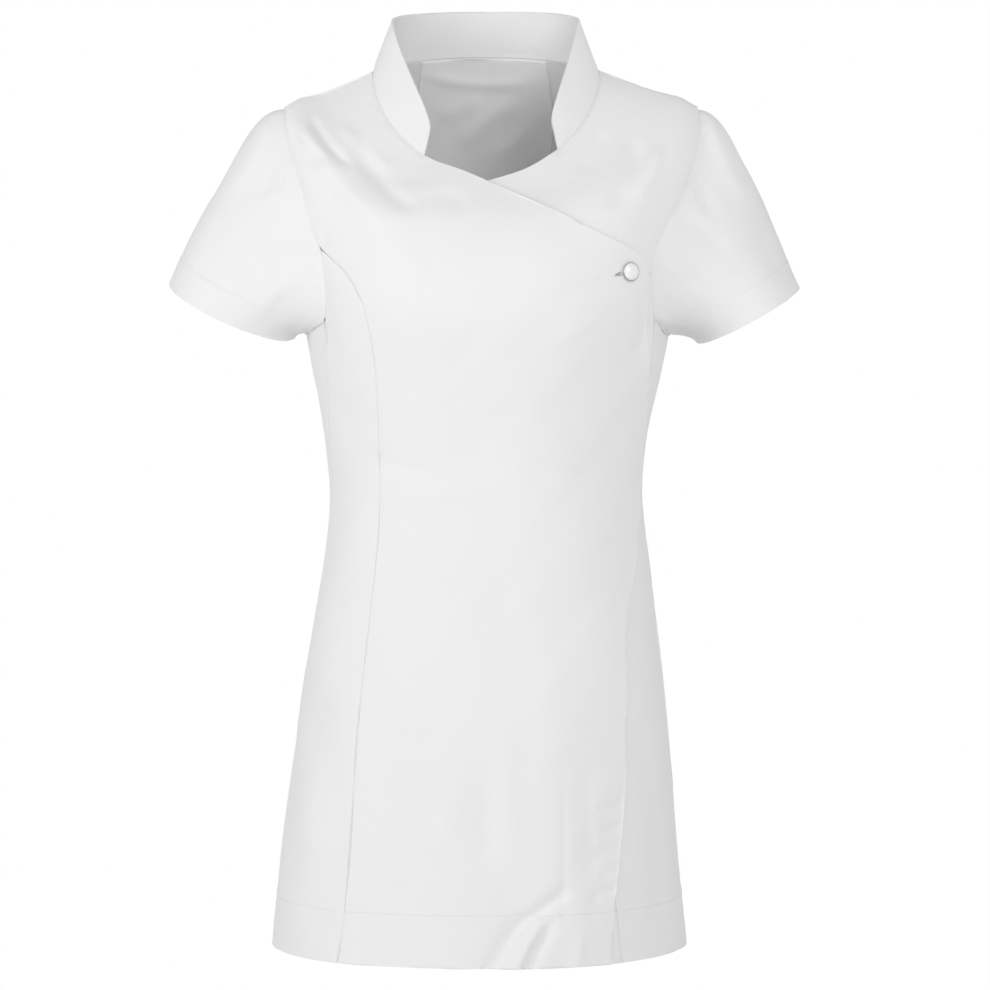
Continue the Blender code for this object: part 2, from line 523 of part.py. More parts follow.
def build_tunic():
    for old in list(bpy.data.objects):
        bpy.data.objects.remove(old, do_unlink=True)
    front_cloth = material("front cloth", (0.86, 0.86, 0.87), 0.75)
    side_cloth = material("side cloth", (0.84, 0.84, 0.86), 0.75)
    back_cloth = material("back cloth", (0.83, 0.83, 0.85), 0.75)
    sleeve_cloth = material("sleeve cloth", (0.85, 0.85, 0.86), 0.75)
    collar_cloth = material("collar cloth", (0.85, 0.85, 0.86), 0.72)
    facing_cloth = material("facing cloth", (0.82, 0.82, 0.84), 0.78)
    shell = material("white button", (0.86, 0.86, 0.88), 0.18)

    whole_turn = np.array([0, 360.0])
    upper_rows = even(NECKLINE_ROWS + NECK_ROWS)
    seams = {}
    for side, princess, seam, low, front, under, back in (
        ("right", RIGHT_PRINCESS, RIGHT_SIDE, RIGHT_ARM_LOW, RIGHT_ARM_FRONT, RIGHT_ARM_UNDER, RIGHT_ARM_BACK),
        ("left", LEFT_PRINCESS, LEFT_SIDE, LEFT_ARM_LOW, LEFT_ARM_FRONT, LEFT_ARM_UNDER, LEFT_ARM_BACK),
    ):
        seams[side] = {
            "princess": trace(princess, trunk_shares(princess)),
            "side": trace(seam, trunk_shares(seam)),
            "low": trace(low, even(SIDE_COLUMNS)),
            "front": trace(front, upper_rows),
            "under": trace(under, even(SIDE_BACK_COLUMNS)),
            "back": trace(back, even(ARM_BACK_ROWS)),
        }
    shoulders = {
        "right": trace(RIGHT_SHOULDER, even(SHOULDER_COLUMNS)),
        "left": trace(LEFT_SHOULDER, even(SHOULDER_COLUMNS)),
    }
    neck = {
        "right": trace(RIGHT_NECK, even(NECK_ROWS)),
        "back": trace(BACK_NECK, even(BACK_NECK_COLUMNS)),
        "left": trace(LEFT_NECK, even(NECK_ROWS)),
    }

    # Armholes: round from the shoulder down the front, under the arm and up the back, with their sleeves.
    bent_span = {}
    for side in ("right", "left"):
        part = seams[side]
        loop_place = joined(part["front"][::-1], part["low"], part["under"], part["back"])[:-1]
        loop, outward = body(loop_place), body_outward(loop_place)
        under = len(part["front"]) + len(part["low"]) - 2 + UNDERARM_STEP
        surface = sleeve_surface(side, loop, under)
        order = 1 if side == "right" else -1
        sleeve_outward = grid_outward(surface, True) * -order
        bent = mitre(outward, sleeve_outward[0])
        bent_span.update(zip(map(seam_key, loop_place), bent))
        span = sleeve_outward.copy()
        span[0] = bent
        surface[0] += unit(surface[1] - surface[0]) * SEAM_GAP / 2
        turned = np.zeros(len(surface))
        turned[-3:] = HEM_TURN
        inner = surface - sleeve_outward * turned[:, None, None]
        outer = surface + span * WALL
        if side == "right":
            inner, outer = inner[:, ::-1], outer[:, ::-1]
        wall_body(side + "_sleeve", inner, outer, sleeve_cloth, closed=True)

    # Collar on the neck seam, from the left front end round the back to the right front end.
    seam_place = joined(neck["left"], neck["back"], neck["right"][::-1] + whole_turn)
    foot, foot_outward = body(seam_place), body_outward(seam_place)
    run = run_along(foot)
    share = 1 - np.abs(1 - 2 * run / run[-1])
    table = np.array(COLLAR)
    inwards, backwards, rise = (np.interp(share, table[:, 0], table[:, k]) for k in (1, 2, 3))
    top = foot + np.stack([-np.sign(foot[:, 0]) * inwards, backwards, rise], -1)
    levels = even(COLLAR_ROWS)[:, None, None]
    band = foot * (1 - levels) + top * levels
    band_outward = grid_outward(band, False)
    bent = mitre(foot_outward, band_outward[0])
    bent_span.update(zip(map(seam_key, seam_place), bent))
    band_span = band_outward.copy()
    band_span[0] = bent
    band[0] += unit(band[1] - band[0]) * SEAM_GAP / 2
    wall_body("collar", band, band + band_span * COLLAR_WALL, collar_cloth)

    def panel(name, place, finish, sewn, rise=0.0, shoulder_line=None):
        used = np.isfinite(place[..., :1])
        whole = np.where(used, place, 0)
        points, outward = body(whole), body_outward(whole)
        if shoulder_line is not None:
            points[-1] = shoulder_line
        span = outward.copy()
        for at in np.ndindex(place.shape[:2]):
            span[at] = bent_span.get(seam_key(place[at]), span[at])
        points = seam_clearance(points, outward, sewn)
        points = points + outward * np.reshape(rise, (*np.shape(rise), 1))
        turned = np.zeros(len(points))
        turned[:3] = HEM_TURN
        inner = points - outward * turned[:, None, None]
        wall_body(name, np.where(used, inner, math.nan), points + span * WALL, finish)
        return points, outward

    right, left = seams["right"], seams["left"]

    # Left front and its side panel, then the right ones
    under_edge = trace(UNDER_EDGE, trunk_shares(UNDER_EDGE))
    under_start = joined(under_edge, trace(UNDER_NECKLINE, even(NECKLINE_ROWS)), neck["left"])
    under_end = joined(left["princess"], left["front"])
    shoulder = trace(LEFT_SHOULDER[::-1], even(UNDER_COLUMNS))
    under_place = patch(under_start, under_end, shoulder)
    left_line = on_stretches(shoulders["left"][::-1], UNDER_COLUMNS)
    sewn = edges_of(under_place, ("end", "top"))
    panel("left_front", under_place, front_cloth, sewn, shoulder_line=left_line)
    all_round = ("start", "end", "top")
    place = patch(left["princess"], left["side"], left["low"])
    panel("left_side_front", place, side_cloth, edges_of(place, all_round))
    place = patch(right["side"], right["princess"], right["low"][::-1])
    panel("right_side_front", place, side_cloth, edges_of(place, all_round))

    lap_start = joined(right["princess"], right["front"])
    lap_edge = trace(LAP_EDGE, trunk_shares(LAP_EDGE))
    lap_end = joined(lap_edge, trace(LAP_NECKLINE, LAP_CORNER_SHARES), neck["right"])
    shoulder = trace(RIGHT_SHOULDER, even(LAP_COLUMNS))
    lap_place = patch(lap_start, lap_end, shoulder)
    outline = body(under_start[: TRUNK_ROWS + NECKLINE_ROWS + 1])[:, [0, 2]]
    rise = lap_rise(body(lap_place), outline)
    right_line = on_stretches(shoulders["right"], LAP_COLUMNS)
    sewn = edges_of(lap_place, ("start", "top"))
    panel("right_front", lap_place, front_cloth, sewn, rise, shoulder_line=right_line)

    # Back, from the left side seam to the right one: two low stretches under the arms, a tall one between
    whole = {"left": 0.0, "right": 360.0}
    low, line, tall = {}, {}, {}
    for side, part in seams.items():
        turned = np.array([0, whole[side]])
        line[side] = trace(BACK_LINE[side], trunk_shares(BACK_LINE[side])) + turned
        low[side] = part["under"] + turned
        tall[side] = joined(line[side], part["back"] + turned)
    back_top = joined(shoulders["left"], neck["back"], shoulders["right"][::-1] + whole_turn)
    under_left = patch(left["side"], line["left"], low["left"])
    under_right = patch(line["right"], right["side"] + whole_turn, low["right"][::-1])
    side_ring = (tall["left"][:, 0] + tall["right"][:, 0]) / 2
    climb = np.argmax(side_ring > BACK_CLIMB_RING)
    middle_ring = side_ring.copy()
    middle_ring[climb:] = np.linspace(side_ring[climb], NECK, len(side_ring) - climb)
    lead = ((middle_ring - side_ring) / (NECK - side_ring[-1]))[:, None]
    u = even(len(back_top) - 1)
    narrow = np.clip((side_ring - BACK_NARROW_RING) / (side_ring[-1] - BACK_NARROW_RING), 0, 1)[:, None]
    level = (1 - u) * tall["left"][:, :1] + u * tall["right"][:, :1]
    top_rise = back_top[:, 0] - (1 - u) * back_top[0, 0] - u * back_top[-1, 0]
    hump = (1 - narrow) * np.sin(math.pi * u) ** 2 * top_rise.max() + narrow * top_rise
    ring = level + lead * hump
    top_turn = back_top[:, 1] - (1 - u) * back_top[0, 1] - u * back_top[-1, 1]
    angle = (1 - u) * tall["left"][:, 1:] + u * tall["right"][:, 1:] + narrow**NARROW_POWER * top_turn
    upper = len(tall["left"]) - len(left["side"])
    missing = np.full((upper, SIDE_BACK_COLUMNS, 2), np.nan)
    back_place = np.concatenate([
        np.concatenate([under_left[:, :-1], missing]),
        np.stack([ring, angle], -1),
        np.concatenate([under_right[:, 1:], missing]),
    ], axis=1)
    back_points, back_outward = panel("back", back_place, back_cloth, back_seams(back_place.shape, upper))

    middle = SIDE_BACK_COLUMNS + (len(back_top) - 1) // 2
    across = slice(middle - FACING_HALF_COLUMNS, middle + FACING_HALF_COLUMNS + 1)
    points = back_points[-FACING_ROWS - 1:, across].copy()
    outward = back_outward[-FACING_ROWS - 1:, across]
    points[-1] += unit(points[-2] - points[-1]) * FACING_DROP
    outer = points - outward * SEAM_GAP
    wall_body("back_neck_facing", outer - outward * FACING_WALL, outer, facing_cloth)

    seat_place = np.array([BUTTON_RING, BUTTON_ANGLE])
    outward = body_outward(seat_place)
    seat = body(seat_place) + outward * (LAP_RISE + WALL + BUTTON_SEAT)
    build_button(shell, seat, outward)


build_tunic()
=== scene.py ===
"""A white wrap-over work tunic, filled out with no wearer: cloth, sewing and button over the solids."""

import math

import bpy
import numpy as np
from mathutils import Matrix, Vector, bvhtree, kdtree


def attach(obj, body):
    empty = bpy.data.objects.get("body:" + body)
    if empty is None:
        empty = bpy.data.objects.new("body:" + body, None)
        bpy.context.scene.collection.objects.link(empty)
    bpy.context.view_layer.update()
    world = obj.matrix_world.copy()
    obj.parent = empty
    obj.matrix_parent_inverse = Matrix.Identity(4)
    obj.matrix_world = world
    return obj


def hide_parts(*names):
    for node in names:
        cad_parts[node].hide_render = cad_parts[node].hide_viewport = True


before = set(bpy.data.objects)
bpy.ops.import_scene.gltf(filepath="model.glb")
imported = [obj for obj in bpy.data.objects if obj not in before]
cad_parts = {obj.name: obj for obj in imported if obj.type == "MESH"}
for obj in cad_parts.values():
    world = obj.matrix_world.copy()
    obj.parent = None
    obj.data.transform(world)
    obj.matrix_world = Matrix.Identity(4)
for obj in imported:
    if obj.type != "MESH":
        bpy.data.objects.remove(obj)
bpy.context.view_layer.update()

# Camera and light
# The tunic is seen from 2.5 m, square to its front, from a little above its waist. The studio is white behind
# it and darker elsewhere, most of all overhead, with one large soft light on either side of the camera.
bpy.ops.object.select_all(action="DESELECT")

EYE = (0.0, -2.5, -0.274)
LOOKS_AT = (0.00747, 0.0, -0.35285)
LENS_LENGTH = 109.5
SENSOR_WIDTH = 36.0
bpy.ops.object.camera_add(location=EYE)
camera = bpy.context.object
camera.rotation_euler = (Vector(LOOKS_AT) - Vector(EYE)).to_track_quat("-Z", "Y").to_euler()
camera.data.lens = LENS_LENGTH
camera.data.sensor_width = SENSOR_WIDTH
camera.data.dof.use_dof = False
bpy.context.scene.camera = camera

LIGHTS = (
    # name, place, breadth, power
    ("front_left_light", (-1.75, -1.35, 0.10), 1.0, 12.0),
    ("front_right_light", (0.80, -2.05, 0.46), 1.0, 12.5),
)
for name, place, breadth, power in LIGHTS:
    bpy.ops.object.light_add(type="AREA", location=place)
    light = bpy.context.object
    light.name = name
    light.rotation_euler = (Vector(LOOKS_AT) - Vector(place)).to_track_quat("-Z", "Y").to_euler()
    light.data.size = breadth
    light.data.energy = power

# The studio's brightness on some line of sight goes from To Min to To Max while the line's part along Y, for
# the wall behind, or along Z, for the ceiling, goes from From Min to From Max
WALL_SHADE = {"From Min": 0.60, "From Max": 0.97, "To Min": 0.73, "To Max": 1.0}
CEILING_SHADE = {"From Min": 0.18, "From Max": 0.90, "To Min": 1.0, "To Max": 0.56}
room = bpy.data.worlds.new("white_studio")
bpy.context.scene.world = room
room.use_nodes = True
walls = room.node_tree.nodes
way = walls.new("ShaderNodeTexCoord")
split = walls.new("ShaderNodeSeparateXYZ")
brightness = walls.new("ShaderNodeMath")
brightness.operation = "MULTIPLY"
room.node_tree.links.new(way.outputs["Generated"], split.inputs[0])
for index, (part, stops) in enumerate((("Y", WALL_SHADE), ("Z", CEILING_SHADE))):
    shade = walls.new("ShaderNodeMapRange")
    shade.interpolation_type = "SMOOTHSTEP"
    for socket, value in stops.items():
        shade.inputs[socket].default_value = value
    room.node_tree.links.new(split.outputs[part], shade.inputs["Value"])
    room.node_tree.links.new(shade.outputs[0], brightness.inputs[index])
room.node_tree.links.new(brightness.outputs[0], walls["Background"].inputs["Strength"])
walls["Background"].inputs["Color"].default_value = (1.0, 1.0, 1.0, 1.0)
bpy.context.scene.view_settings.view_transform = "Standard"


def plain_finish(name, colour, roughness, metallic=0.0):
    """A finish of one colour, for the studio's floor and for what is about a millimetre broad."""
    finish = bpy.data.materials.new(name)
    finish.use_nodes = True
    shader = finish.node_tree.nodes["Principled BSDF"]
    shader.inputs["Base Color"].default_value = (*colour, 1.0)
    shader.inputs["Roughness"].default_value = roughness
    shader.inputs["Metallic"].default_value = metallic
    return finish


FLOOR_HEIGHT = -1.35
FLOOR_RADIUS = 1.9
bpy.ops.mesh.primitive_circle_add(vertices=64, radius=FLOOR_RADIUS, fill_type="NGON",
                                  location=(0, 0, FLOOR_HEIGHT))
floor = bpy.context.object
floor.name = "studio_floor"
floor.data.transform(floor.matrix_world)
floor.matrix_world.identity()
floor.data.materials.append(plain_finish("floor_paint", (0.82, 0.82, 0.82), 0.9))

# Right front
# The wearer's right front, cut wide so that it laps over the left one to the button. White twill of polyester
# and cotton, sewn to the side panel by the princess seam, with a deep hem turned up inside and stitched.
OUTSIDE, RIM, INSIDE = 0, 1, 2
MERGE_GAP = 0.00001
WALL_REACH = 0.0028
RIM_TILT = 0.35
SOFT_EDGE = 0.85
RIM_CORNER = math.cos(math.radians(50))
# What faces away from a wall's core is its outside. A body wall's core lies this share as far to the side,
# level with the wall but no higher than this, and the other pieces have theirs further on
CORE_SHARE = 0.8
CORE_TOP = -0.12
FAR_OFF = 9.0
TINY = 1e-12


def cut_cloth(node, name, levels, core=None):
    """A smooth copy of a CAD wall in four-sided cells. Material slots tell its outside, rim and inside."""
    bpy.ops.object.select_all(action="DESELECT")
    cloth = bpy.data.objects.new(name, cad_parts[node].data.copy())
    bpy.context.scene.collection.objects.link(cloth)
    cloth.select_set(True)
    bpy.context.view_layer.objects.active = cloth
    cloth.data.materials.clear()
    for side in ("outside", "rim", "inside"):
        cloth.data.materials.append(bpy.data.materials.get(side) or bpy.data.materials.new(side))
    bpy.ops.object.mode_set(mode="EDIT")
    bpy.ops.mesh.select_all(action="SELECT")
    bpy.ops.mesh.customdata_custom_splitnormals_clear()
    bpy.ops.mesh.remove_doubles(threshold=MERGE_GAP)
    bpy.ops.object.mode_set(mode="OBJECT")
    mark_sides(cloth.data, core)
    bpy.ops.object.mode_set(mode="EDIT")
    bpy.ops.mesh.select_all(action="SELECT")
    bpy.ops.mesh.tris_convert_to_quads(face_threshold=math.pi, shape_threshold=math.pi,
                                       topology_influence=2.0, materials=True)
    bpy.ops.object.mode_set(mode="OBJECT")
    firm = [firmness(faces) for faces in beside_edges(cloth.data)]
    cloth.data.attributes.new("crease_edge", "FLOAT", "EDGE").data.foreach_set("value", firm)
    smooth = cloth.modifiers.new("smooth", "SUBSURF")
    smooth.levels = smooth.render_levels = levels
    bpy.ops.object.modifier_apply(modifier=smooth.name)
    return cloth


def mark_sides(mesh, core):
    """Sorts a wall's faces into rim, which lies along the way through the wall, and outside and inside."""
    points = [point.co.copy() for point in mesh.vertices]
    tree = kdtree.KDTree(len(points))
    for index, point in enumerate(points):
        tree.insert(point, index)
    tree.balance()
    facing = [Vector() for point in points]
    for face in mesh.polygons:
        for index in face.vertices:
            facing[index] += face.normal * face.area
    through = []
    for index, point in enumerate(points):
        found = tree.find_range(point, WALL_REACH)
        ways = [(near - point).normalized() for near, other, gap in found if other != index]
        through.append(max(ways, key=lambda way: abs(way.dot(facing[index])), default=Vector()))
    for face in mesh.polygons:
        tilt = sum(abs(face.normal.dot(through[index])) for index in face.vertices) / len(face.vertices)
        inner = core or Vector((CORE_SHARE * face.center.x, 0.0, min(face.center.z, CORE_TOP)))
        outward = face.normal.dot(face.center - inner) > 0
        face.material_index = RIM if tilt < RIM_TILT else OUTSIDE if outward else INSIDE


def beside_edges(mesh):
    """The faces beside each edge."""
    faces = {edge.key: [] for edge in mesh.edges}
    for face in mesh.polygons:
        for key in face.edge_keys:
            faces[key].append(face)
    return [faces[edge.key] for edge in mesh.edges]


def firmness(faces):
    """How far smoothing leaves an edge alone: more round the rim, and wholly at the rim's own corners."""
    sides = {face.material_index for face in faces}
    if len(sides) > 1:
        return SOFT_EDGE
    turned = sides == {RIM} and faces[0].normal.dot(faces[-1].normal) < RIM_CORNER
    return 1.0 if turned else 0.0


def points_of(mesh):
    """A mesh's points as rows of x, y, z."""
    flat = np.empty(len(mesh.vertices) * 3)
    mesh.vertices.foreach_get("co", flat)
    return flat.reshape(-1, 3)


def outward_of(mesh):
    """For each point, the way out of the cloth, and the way out along the cloth at its rim."""
    side = np.array([face.material_index for face in mesh.polygons])
    area = np.array([face.area for face in mesh.polygons])
    normal = np.array([face.normal for face in mesh.polygons]) * area[:, None]
    normal[side == INSIDE] *= -1
    corner = np.array([loop.vertex_index for loop in mesh.loops])
    owner = np.repeat(np.arange(len(side)), [face.loop_total for face in mesh.polygons])
    out, along = np.zeros((len(mesh.vertices), 3)), np.zeros((len(mesh.vertices), 3))
    flat = side[owner] != RIM
    np.add.at(out, corner[flat], normal[owner[flat]])
    np.add.at(along, corner[~flat], normal[owner[~flat]])
    out /= np.linalg.norm(out, axis=1, keepdims=True) + TINY
    size = np.linalg.norm(along, axis=1, keepdims=True)
    along = np.where(size > 0, along / np.maximum(size, TINY), 0)
    return out, along


def outer_rim(mesh):
    """Stretches of the line where a wall's outside meets its rim, as pairs of points."""
    points = points_of(mesh)
    return np.array([points[list(edge.key)] for edge, faces in zip(mesh.edges, beside_edges(mesh))
                     if {face.material_index for face in faces} == {OUTSIDE, RIM}])


def distance(points, lines):
    """How far each point is from the nearest of some straight stretches."""
    nearest = np.full(len(points), FAR_OFF)
    for start, end in lines:
        run = end - start
        share = np.clip((points - start) @ run / (run @ run), 0, 1)
        nearest = np.minimum(nearest, np.linalg.norm(points - start - share[:, None] * run, axis=1))
    return nearest


def ease(value, low, high):
    """0 below low, 1 above high, and smooth between them."""
    share = np.clip((value - low) / (high - low), 0, 1)
    return share * share * (3 - 2 * share)


CORES = {
    "right_sleeve": Vector((-0.180, 0.0, -0.130)),
    "left_sleeve": Vector((0.180, 0.0, -0.130)),
    "collar": Vector((0.0, 0.0, 0.0)),
    "back_neck_facing": Vector((0.0, -0.1, -0.05)),
}
# The outer rim of every wall as it was cut, from which the others measure their seams
rims = {}
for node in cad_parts:
    if node != "button":
        plain = cut_cloth(node, "plain_" + node, 1, CORES.get(node))
        rims[node] = outer_rim(plain.data)
        bpy.data.objects.remove(plain)


class Wire:
    """A shader socket that can be used in sums. make adds any other node."""

    def __init__(self, tree, socket=None):
        self.tree = tree
        self.socket = socket

    def make(self, kind, settings=(), values=(), out=0):
        node = self.tree.nodes.new(kind)
        for setting, value in dict(settings).items():
            setattr(node, setting, value)
        for socket, value in dict(values).items():
            if isinstance(value, Wire):
                self.tree.links.new(value.socket, node.inputs[socket])
            else:
                node.inputs[socket].default_value = value
        return Wire(self.tree, node.outputs[out])

    def maths(self, operation, *values):
        return self.make("ShaderNodeMath", {"operation": operation}, enumerate(values))

    def through(self, operation):
        return self.maths(operation, self)

    def __add__(self, other):
        return self.maths("ADD", self, other)

    def __sub__(self, other):
        return self.maths("SUBTRACT", self, other)

    def __rsub__(self, other):
        return self.maths("SUBTRACT", other, self)

    def __mul__(self, other):
        return self.maths("MULTIPLY", self, other)

    __radd__ = __add__
    __rmul__ = __mul__


CLOTH_ROUGHNESS = 0.82
CLOTH_SHEEN = 0.12
SHEEN_ROUGHNESS = 0.5
TWILL_RIB = 0.00055
RIB_RELIEF = 0.000012
YARN_GRAIN = (1400.0, 90.0, 1.0)
YARN_RELIEF = 0.00003
YARN_TONE = 0.02
CRUMPLE_GRAIN = 38.0
CRUMPLE_RELIEF = 0.0005
BLOTCH_GRAIN = 9.0
BLOTCH_TONE = 0.03
HEM_LINE_BREADTH = 0.0009
HEM_PRESS = 0.5
SEAM_LINE_BREADTH = 0.0012
SEAM_PRESS = 0.8
PRESS_RELIEF = 0.0002
# How much darker the pressed line along hems and seams is painted, as shade in its crease
PRESSED_LINE_SHADE = 0.05


def twill(name, colour):
    """White twill: fine slanting ribs, a few thicker yarns, and a line pressed in along hems and seams, which
    is also darkened in colour as painted shade.
    """
    finish = bpy.data.materials.new(name)
    finish.use_nodes = True
    shader = finish.node_tree.nodes["Principled BSDF"]
    wires = Wire(finish.node_tree)
    cloth = wires.make("ShaderNodeUVMap", {"uv_map": "cloth"})
    across = wires.make("ShaderNodeSeparateXYZ", (), {0: cloth})
    up = Wire(across.tree, across.socket.node.outputs[1])
    rib = ((across + up) * (math.tau / TWILL_RIB)).through("SINE")
    yarn = wires.make("ShaderNodeTexNoise", {"noise_dimensions": "3D"},
                      {"Vector": wires.make("ShaderNodeVectorMath", {"operation": "MULTIPLY"},
                                            {0: cloth, 1: YARN_GRAIN}),
                       "Scale": 1.0, "Detail": 2.0})
    where = wires.make("ShaderNodeTexCoord", out=3)
    crumple = wires.make("ShaderNodeTexNoise", {"noise_dimensions": "3D"},
                         {"Vector": where, "Scale": CRUMPLE_GRAIN, "Detail": 4.0, "Roughness": 0.55})
    blotch = wires.make("ShaderNodeTexNoise", {"noise_dimensions": "3D"},
                        {"Vector": where, "Scale": BLOTCH_GRAIN, "Detail": 2.0})
    hem = wires.make("ShaderNodeAttribute", {"attribute_name": "hem"}, out=2)
    seam = wires.make("ShaderNodeAttribute", {"attribute_name": "seam"}, out=2)
    hem_line = (hem * hem * (-1 / HEM_LINE_BREADTH**2)).through("EXPONENT")
    seam_line = (seam * seam * (-1 / SEAM_LINE_BREADTH**2)).through("EXPONENT")
    pressed = hem_line * HEM_PRESS + seam_line * SEAM_PRESS
    # The colour varies at random with blotches and yarns, and is darkened along the pressed line as painted
    # shade
    tone_and_shade = 1.0 + (blotch - 0.5) * BLOTCH_TONE + (yarn - 0.5) * YARN_TONE - pressed * PRESSED_LINE_SHADE
    shaded = wires.make("ShaderNodeVectorMath", {"operation": "SCALE"}, {0: colour, 3: tone_and_shade})
    finish.node_tree.links.new(shaded.socket, shader.inputs["Base Color"])
    height = rib * RIB_RELIEF + yarn * YARN_RELIEF + crumple * CRUMPLE_RELIEF - pressed * PRESS_RELIEF
    bump = wires.make("ShaderNodeBump", (), {"Strength": 1.0, "Distance": 1.0, "Height": height})
    finish.node_tree.links.new(bump.socket, shader.inputs["Normal"])
    shader.inputs["Roughness"].default_value = CLOTH_ROUGHNESS
    shader.inputs["Sheen Weight"].default_value = CLOTH_SHEEN
    shader.inputs["Sheen Roughness"].default_value = SHEEN_ROUGHNESS
    return finish


# Folds of the front, seen square on, and of the other pieces further on. A trough lifts by less than nothing.
# near and far are a fold's breadths to its two sides, and bow is how far its middle bends to one of them.
FRONT_FOLDS = (
    # x from, z from, x to, z to, bow, lift, near, far
    # a fan from the right shoulder towards the bust
    (-0.166, -0.050, -0.130, -0.084, 0.002, -0.0030, 0.005, 0.008),
    (-0.152, -0.046, -0.086, -0.132, 0.005, 0.0034, 0.008, 0.009),
    (-0.142, -0.044, -0.110, -0.084, 0.003, -0.0032, 0.004, 0.006),
    (-0.104, -0.066, -0.058, -0.122, 0.004, -0.0036, 0.007, 0.010),
    (-0.120, -0.050, -0.076, -0.088, 0.002, 0.0016, 0.006, 0.006),
    (-0.062, -0.116, -0.014, -0.116, -0.004, -0.0014, 0.006, 0.009),
    (-0.148, -0.110, -0.128, -0.150, 0.002, -0.0012, 0.005, 0.007),
    # from the left shoulder towards the lap
    (0.124, -0.066, 0.100, -0.120, -0.003, -0.0028, 0.006, 0.008),
    (0.140, -0.070, 0.122, -0.112, -0.002, 0.0018, 0.006, 0.006),
    (0.096, -0.058, 0.076, -0.090, -0.002, -0.0012, 0.006, 0.008),
    # drag lines down from the bust, from the button and across the waist
    (-0.059, -0.137, 0.037, -0.295, 0.004, -0.0011, 0.009, 0.007),
    (0.104, -0.180, 0.040, -0.196, -0.003, -0.0012, 0.005, 0.008),
    (0.100, -0.196, 0.052, -0.232, -0.003, 0.0010, 0.006, 0.008),
    (-0.098, -0.316, -0.040, -0.330, 0.003, -0.0012, 0.006, 0.009),
    (-0.070, -0.352, 0.010, -0.346, -0.002, 0.0010, 0.007, 0.010),
    (0.030, -0.322, 0.090, -0.336, 0.003, -0.0012, 0.006, 0.009),
    (0.084, -0.424, 0.110, -0.427, 0.001, -0.0014, 0.003, 0.004),
    # soft upright dips in the skirt
    (-0.054, -0.570, -0.062, -0.690, 0.003, -0.0032, 0.012, 0.018),
    (-0.026, -0.520, -0.034, -0.640, 0.002, 0.0016, 0.014, 0.014),
    (-0.002, -0.560, 0.000, -0.640, -0.003, -0.0024, 0.008, 0.012),
    (0.018, -0.550, 0.026, -0.660, 0.002, 0.0014, 0.010, 0.012),
    (0.082, -0.560, 0.088, -0.690, 0.002, -0.0010, 0.006, 0.009),
    # the left front's edge and its stitches, read through the right front
    (0.0625, -0.585, 0.0625, -0.690, 0.000, -0.0007, 0.0018, 0.0030),
    # pleats across the hem at the lap
    (0.066, -0.664, 0.026, -0.692, 0.000, -0.0036, 0.004, 0.006),
    (0.031, -0.686, 0.002, -0.738, 0.003, -0.0042, 0.005, 0.008),
    (0.044, -0.690, 0.018, -0.740, 0.002, 0.0034, 0.004, 0.006),
    (0.054, -0.688, 0.030, -0.740, 0.002, -0.0032, 0.004, 0.005),
    (0.078, -0.694, 0.070, -0.738, 0.001, 0.0012, 0.005, 0.006),
    # puckers along the lap's stitched edge
    (0.088, -0.603, 0.114, -0.597, 0.000, -0.0012, 0.004, 0.005),
    (0.092, -0.620, 0.114, -0.614, 0.000, -0.0014, 0.004, 0.005),
    (0.086, -0.638, 0.113, -0.632, 0.000, -0.0016, 0.004, 0.005),
    (0.090, -0.654, 0.112, -0.649, 0.000, -0.0015, 0.004, 0.005),
    (0.084, -0.669, 0.111, -0.664, 0.000, -0.0018, 0.004, 0.005),
    # the side panels below the armholes and down the skirt
    (-0.134, -0.196, -0.118, -0.240, 0.002, -0.0014, 0.005, 0.008),
    (0.134, -0.190, 0.122, -0.240, -0.002, -0.0018, 0.005, 0.007),
    (0.138, -0.206, 0.128, -0.262, -0.002, 0.0012, 0.005, 0.006),
    (-0.138, -0.560, -0.148, -0.720, 0.002, 0.0014, 0.012, 0.014),
    (0.130, -0.560, 0.142, -0.720, -0.002, -0.0018, 0.008, 0.010),
)

# A fold fades in over this stretch of its length, at both ends
END_FADE = (-0.12, 0.22)


def folded(points, rows):
    """How far folds lift the cloth at each point."""
    lift = np.zeros(len(points))
    for from_x, from_z, to_x, to_z, bow, height, near, far in rows:
        run = np.array([to_x - from_x, to_z - from_z])
        length = math.hypot(*run)
        dx, dz = points[:, 0] - from_x, points[:, 2] - from_z
        along = (dx * run[0] + dz * run[1]) / length**2
        held = np.clip(along, 0, 1)
        across = (dx * run[1] - dz * run[0]) / length - bow * 4 * held * (1 - held)
        breadth = np.where(across < 0, near, far)
        past = np.maximum(np.maximum(-along, along - 1), 0) * length / (near + far)
        ends = ease(along, *END_FADE) * ease(1 - along, *END_FADE)
        lift += height * np.exp(-((across / breadth) ** 2) - past**2) * ends
    return lift


# The slight unevenness of cloth that has been pressed and worn
RIPPLES = (
    # waves per metre along x, y and z, turn at the origin, lift
    (9.0, 4.0, 3.0, 0.4, 0.00050),
    (-6.0, 8.0, 5.5, 2.1, 0.00050),
    (15.0, -7.0, 6.0, 4.0, 0.00028),
    (4.0, 17.0, -11.0, 1.2, 0.00022),
    (-19.0, 11.0, 13.0, 5.3, 0.00014),
    (23.0, 19.0, -21.0, 3.3, 0.00010),
)

# The small waves that a line of stitches draws up beside itself
PUCKERS = (
    # waves per metre along x, y and z, turn at the origin, lift
    (78.0, 20.0, 84.0, 0.6, 0.00010),
    (-52.0, 31.0, 61.0, 2.9, 0.00010),
    (33.0, -60.0, 118.0, 4.4, 0.00006),
)


def waved(points, rows):
    """How far waves lift the cloth at each point."""
    lift = np.zeros(len(points))
    for x, y, z, turn, height in rows:
        lift += height * np.sin(math.tau * (points @ np.array([x, y, z])) + turn)
    return lift


HEM_HEIGHT = 0.042
HEM_LINE = -0.715


def body_hem(node):
    """The stretches of a body piece's rim that lie along its hem."""
    return rims[node][(rims[node][:, :, 2] < HEM_LINE).all(axis=1)]


